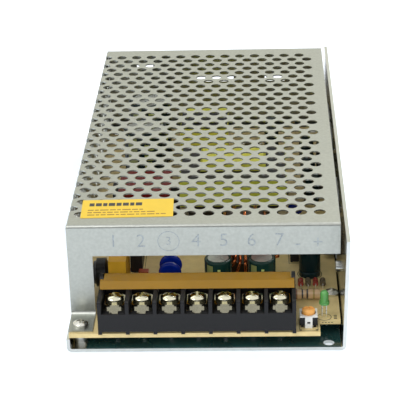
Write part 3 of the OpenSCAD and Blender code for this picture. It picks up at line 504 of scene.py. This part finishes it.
# %% Shaping helpers
def keep(mesh, name, material, stands_for=()):
    """Makes a mesh into a piece that rides on the case, with its place in the mesh."""
    piece = put_in_scene(name, mesh)
    mesh.materials.clear()
    mesh.materials.append(material)
    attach(piece, "case")
    if stands_for:
        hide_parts(*stands_for)
    print(name, len(mesh.polygons), "faces")
    return piece


def close(shape, name):
    """Turns a bmesh into a mesh with its faces outwards."""
    bmesh.ops.recalc_face_normals(shape, faces=shape.faces)
    mesh = bpy.data.meshes.new(name)
    shape.to_mesh(mesh)
    shape.free()
    return mesh


def rim(shape, face, width):
    """Keeps a rim of a flat face and drops its middle."""
    bmesh.ops.inset_individual(shape, faces=[face], thickness=width)
    bmesh.ops.delete(shape, geom=[face], context="FACES_ONLY")


def flat_ring(shape, centre, outer, width, turn=Matrix.Identity(4)):
    """Adds a flat ring, lying unless it is turned."""
    made = bmesh.ops.create_circle(shape, cap_ends=True, radius=outer, segments=48,
                                   matrix=Matrix.Translation(centre) @ turn)
    rim(shape, made["verts"][0].link_faces[0], width)


def lettering(shape, words, height, centre, turn, depth):
    """Adds words as slightly thinned flat solids, centred on a point and turned by a matrix."""
    curve = bpy.data.curves.new("words", "FONT")
    curve.body = words
    curve.size = height / 0.7  # a capital is about 0.7 of the font's size
    curve.align_x, curve.align_y = "CENTER", "CENTER"
    curve.extrude = depth
    curve.offset = -height * 0.012  # thins the strokes a little
    curve.resolution_u = 3
    letter = bpy.data.objects.new("words", curve)
    mesh = bpy.data.meshes.new_from_object(letter)
    mesh.transform(Matrix.Translation(centre) @ turn)
    shape.from_mesh(mesh)
    bpy.data.objects.remove(letter)
    bpy.data.meshes.remove(mesh)


print("shaping helpers ready")

# %% [markdown]
# ## Stamped marks on the lip
# The terminals are named by plain numbers pressed into the lip, with a ring round the third, and
# a minus and a plus stand over the trimmer. Cutting them into the sheet would change the frame's
# own mesh, so each is a hair-thin raised line, coloured a darker grey than the lip as painted
# shade for the pressed grooves. Text is the quickest way to a clean numeral: it becomes a mesh,
# is stood upright and lies on the lip.

# %% Lip marks
poles, ringed_pole = 7, 2
mark_depth, mark_size, ringed_size, sign_reach = 0.04 * MM, 5 * MM, 3.2 * MM, 3.5 * MM
plate_half, lip_setback, mark_drop, sign_drop = 3.6 * MM, 12.8 * MM, 6.2 * MM, 1.2 * MM
cover_low, cover_high = span("cover")
plates_low, plates_high = span("terminal_plates")
trimmer_low, trimmer_high = span("trimmer_body")
pole_step = (plates_high.x - plates_low.x - 2 * plate_half) / (poles - 1)
lip_front = cover_low.y + lip_setback
mark_height = cover_high.z - mark_drop
lip_shape = bmesh.new()
for pole in range(poles):
    centre = Vector((plates_low.x + plate_half + pole * pole_step, lip_front, mark_height))
    size = ringed_size if pole == ringed_pole else mark_size
    lettering(lip_shape, str(pole + 1), size, centre, upright, mark_depth)
    if pole == ringed_pole:
        flat_ring(lip_shape, centre - Vector((0, mark_depth, 0)), 3.9 * MM, 0.3 * MM, upright)
trimmer_x = (trimmer_low.x + trimmer_high.x) / 2
for sign, side in (("-", -1), ("+", 1)):
    centre = (trimmer_x + side * sign_reach, lip_front, mark_height - sign_drop)
    lettering(lip_shape, sign, mark_size, centre, upright, mark_depth)
# The marks' darker grey stands for the shade in pressed grooves: painted shade.
stamped_groove_shade = finish("stamped_groove_shade", (0.33, 0.36, 0.37), 0.4, metal=1, drift=0.2, grain=2000)
keep(close(lip_shape, "lip_marks"), "lip_marks", stamped_groove_shade)
print("pole step", round(pole_step / MM, 2), "mm")

# %% [markdown]
# ## Printed lines on the board
# The top print shows where each part sits: outlines, rings and short dashes. On the real board it
# is ink. Here it is thin flat shapes a hair above the lacquer, all in one piece, because an image
# of the print would need a file and goes soft close up.

# %% Board print
line = 0.25 * MM
print_height = span("circuit_board")[1].z + 0.02 * MM
print_shape = bmesh.new()


def panel(shape, x0, y0, x1, y1, height):
    """Adds a rectangle lying flat and returns its face."""
    made = bmesh.ops.create_grid(shape, x_segments=1, y_segments=1, size=0.5)
    stretch = Matrix.Diagonal((x1 - x0, y1 - y0, 1, 1))
    place = Matrix.Translation(((x0 + x1) / 2, (y0 + y1) / 2, height))
    bmesh.ops.transform(shape, verts=made["verts"], matrix=place @ stretch)
    return made["verts"][0].link_faces[0]


def outline(x0, y0, x1, y1):
    rim(print_shape, panel(print_shape, x0, y0, x1, y1, print_height), line)


def dash(x, y, length, depth):
    panel(print_shape, x, y, x + length, y + depth, print_height)


def ring(x, y, radius):
    flat_ring(print_shape, Vector((x, y, print_height)), radius, line)


for name, gap in (("line_capacitor", 0.5 * MM), ("bridge_rectifier", 0.6 * MM), ("film_capacitor", 0.6 * MM),
                  ("control_chip", 0.6 * MM), ("disc_capacitors", 0.7 * MM), ("thermistor", 0.6 * MM)):
    part_low, part_high = span(name)
    outline(part_low.x - gap, part_low.y - gap, part_high.x + gap, part_high.y + gap)
for name, gap in (("standing_capacitor", 0.6 * MM), ("output_capacitors", 0.5 * MM)):
    part_low, part_high = span(name)
    radius = (part_high.y - part_low.y) / 2
    for x in (part_low.x + radius, part_high.x - radius):  # a single can's two rings fall together
        ring(x, part_low.y + radius, radius + gap)
print("part outlines drawn")

# %% [markdown]
# ## Small print near the front
# The trimmer and the screw near the tall wall have an outline of their own, the lamp has a ring,
# and short dashes stand for the lettering beside them. Dashes look like print and say nothing.

# %% Dashes and rings
outline(trimmer_low.x - 0.2 * MM, trimmer_low.y - 2.3 * MM, trimmer_high.x + 0.2 * MM,
        trimmer_high.y + 0.4 * MM)
for x in (trimmer_low.x - 0.2 * MM, trimmer_high.x - 0.7 * MM):
    dash(x, trimmer_low.y - 2.3 * MM, 0.9 * MM, 0.8 * MM)
lamp_low, lamp_high = span("lamp")
lamp_mid = (lamp_low + lamp_high) / 2
ring(lamp_mid.x, lamp_mid.y, 2.6 * MM)
for step in (-1.1, 0, 1.1):
    dash(lamp_mid.x + 3.4 * MM, lamp_mid.y + (step - 0.3) * MM, 1.1 * MM, 0.6 * MM)
for step in range(4):
    dash(trimmer_high.x + (1.6 + 1.1 * step) * MM, lamp_mid.y - 4.2 * MM, 0.6 * MM, 0.5 * MM)
disc_high = span("disc_capacitors")[1]
for row in range(3):
    y = disc_high.y - (2 + row * 3.2) * MM
    dash(disc_high.x + 1.6 * MM, y, 1.4 * MM, 0.8 * MM)
    dash(disc_high.x + 3.8 * MM, y, 0.5 * MM, 0.8 * MM)
head_radius = 2.7 * MM
screw_high = span("board_screws")[1]
screw_x, screw_y = screw_high.x - head_radius, screw_high.y - head_radius
outline(screw_x - 4.2 * MM, screw_y - 6.5 * MM, screw_x + 1.8 * MM, screw_y + 3.2 * MM)
print_black = finish("print_black", (0.02, 0.02, 0.02), 0.5, drift=0.2, grain=3000)
keep(close(print_shape, "board_print"), "board_print", print_black)

# %% [markdown]
# ## Wound wire on the output choke
# Each turn hugs the ring's square section and cuts its corners a little, as stiff wire does. A
# closed curve with a round bevel gives one turn. Copies turned about the ring's axis give the
# winding, and the whole is then made one mesh, which stands in for the frame's plain winding.

# %% Choke turns
wire_radius, wire_clearance, corner_cut = 0.6 * MM, 0.02 * MM, 0.8 * MM
turn_count, bore_share = 20, 0.58
ring_low, ring_high = span("choke_ring")
ring_outer, ring_half = (ring_high.z - ring_low.z) / 2, (ring_high.y - ring_low.y) / 2


def wire_turn(curve, turn):
    """Adds one closed turn of wire round the ring's section."""
    reach = wire_radius + wire_clearance
    x0, x1, z1 = ring_outer * bore_share - reach, ring_outer + reach, ring_half + reach
    loop = [(x0, z1 - corner_cut), (x0 + corner_cut, z1), (x1 - corner_cut, z1), (x1, z1 - corner_cut),
            (x1, corner_cut - z1), (x1 - corner_cut, -z1), (x0 + corner_cut, -z1), (x0, corner_cut - z1)]
    spline = curve.splines.new("POLY")
    spline.points.add(len(loop) - 1)
    for point, (x, z) in zip(spline.points, loop):
        point.co = (*(turn @ Vector((x, 0, z))), 1)
    spline.use_cyclic_u = True


turns = bpy.data.curves.new("choke_turns", "CURVE")
turns.dimensions = "3D"
turns.bevel_depth = wire_radius
turns.bevel_resolution = 2
for step in range(turn_count):
    wire_turn(turns, upright @ Matrix.Rotation(math.tau * step / turn_count, 4, "Z"))
winding = bpy.data.objects.new("choke_turns", turns)
winding_mesh = bpy.data.meshes.new_from_object(winding)
winding_mesh.transform(Matrix.Translation((ring_low + ring_high) / 2))
winding_mesh.shade_smooth()
bpy.data.objects.remove(winding)
keep(winding_mesh, "choke_turns", copper, stands_for=("choke_winding",))

# %% [markdown]
# ## Print on the capacitor sleeves
# A shrink sleeve carries a pale stripe and rows of small print. Each patch is a straight edge
# spun through a small angle about the can, so it lies exactly on the sleeve. The stripe lies
# under the rows and a hair nearer to the can.

# %% Sleeve print
def sleeve_patch(shape, centre, radius, start, sweep, z0, z1):
    """Adds a curved patch between two heights on a can."""
    foot = shape.verts.new((centre[0] + radius * math.cos(start), centre[1] + radius * math.sin(start), z0))
    head = shape.verts.new((foot.co.x, foot.co.y, z1))
    edge = shape.edges.new((foot, head))
    bmesh.ops.spin(shape, geom=[foot, head, edge], cent=(centre[0], centre[1], 0), axis=(0, 0, 1),
                   angle=sweep, steps=max(2, int(sweep / 0.12)))


def can_centres(name, radius):
    """The middles of a pair of cans, which stand side by side or one behind the other."""
    part_low, part_high = span(name)
    behind = part_high.y - part_low.y > 3 * radius
    return [(part_low.x + radius, part_low.y + radius),
            (part_high.x - radius, (part_high.y if behind else part_low.y + 2 * radius) - radius)]


stripe_shape, text_shape = bmesh.new(), bmesh.new()
stripe_sweep, text_start, row_step, row_height = 0.5, 0.35, 1.5 * MM, 0.8 * MM
for name, radius, facing in (("output_capacitors", 5 * MM, -1.95), ("bulk_capacitors", 9 * MM, -1.93)):
    can_low, can_high = span(name)
    z0, z1 = can_low.z + 3.6 * MM, can_high.z - 1.4 * MM
    for centre in can_centres(name, radius):
        sleeve_patch(stripe_shape, centre, radius + 0.03 * MM, facing - stripe_sweep, stripe_sweep, z0, z1)
        for row in range(int((z1 - z0) / row_step)):
            bottom = z0 + row * row_step
            sweep = 0.2 + 0.12 * ((row * 7) % 3)
            sleeve_patch(text_shape, centre, radius + 0.04 * MM, facing + text_start, sweep, bottom,
                         bottom + row_height)
sleeve_stripe = finish("sleeve_stripe", (0.28, 0.3, 0.1), 0.3, drift=0.1, grain=300)
keep(close(stripe_shape, "sleeve_stripes"), "sleeve_stripes", sleeve_stripe)
sleeve_text = finish("sleeve_text", (0.62, 0.68, 0.2), 0.3, drift=0.1, grain=300)
keep(close(text_shape, "sleeve_print"), "sleeve_print", sleeve_text)

# %% [markdown]
# ## Print on the sticker
# A broad dark bar stands for a heading and thin broken bars for the lines below it. Nothing on
# it can be read. The bars are drawn straight about the middle and then turned and laid on the
# sticker together, because it was stuck on at a slight angle.

# %% Sticker bars
sticker_width, sticker_turn, bar_gap = 32.8 * MM, math.radians(1.4), 0.5 * MM
sticker_low, sticker_high = span("sticker")
sticker_mid = (sticker_low + sticker_high) / 2
laid = (Matrix.Translation((sticker_mid.x, sticker_mid.y, sticker_high.z + 0.01 * MM))
        @ Matrix.Rotation(sticker_turn, 4, "Z"))


def bar_row(shape, start, end, y, height, lengths):
    """Adds a line of bars with gaps between two shares of the width, from a repeating pattern."""
    x, i = start * sticker_width, 0
    while x < end * sticker_width:
        length = min(lengths[i % len(lengths)] * MM, end * sticker_width - x)
        panel(shape, x, y, x + length, y + height, 0)
        x, i = x + length + bar_gap, i + 1


def lay_bars(shape, name, material):
    bmesh.ops.transform(shape, verts=shape.verts, matrix=laid)
    keep(close(shape, name), name, material)


heading_shape = bmesh.new()
bar_row(heading_shape, -0.42, 0.16, 2.1 * MM, 2.6 * MM, (1.8, 2.1, 1.5, 2.3))
lay_bars(heading_shape, "sticker_heading", print_black)
lines_shape = bmesh.new()
for row, lengths in enumerate(((2.1, 1.3, 3), (1.6, 2.8, 1.1, 2), (2.6, 1.2, 1.8))):
    bar_row(lines_shape, -0.43, 0.18 + 0.12 * row, (-1.6 - row * 2) * MM, 0.8 * MM, lengths)
print_brown = finish("print_brown", (0.3, 0.17, 0.015), 0.45, drift=0.2, grain=3000)
lay_bars(lines_shape, "sticker_lines", print_brown)
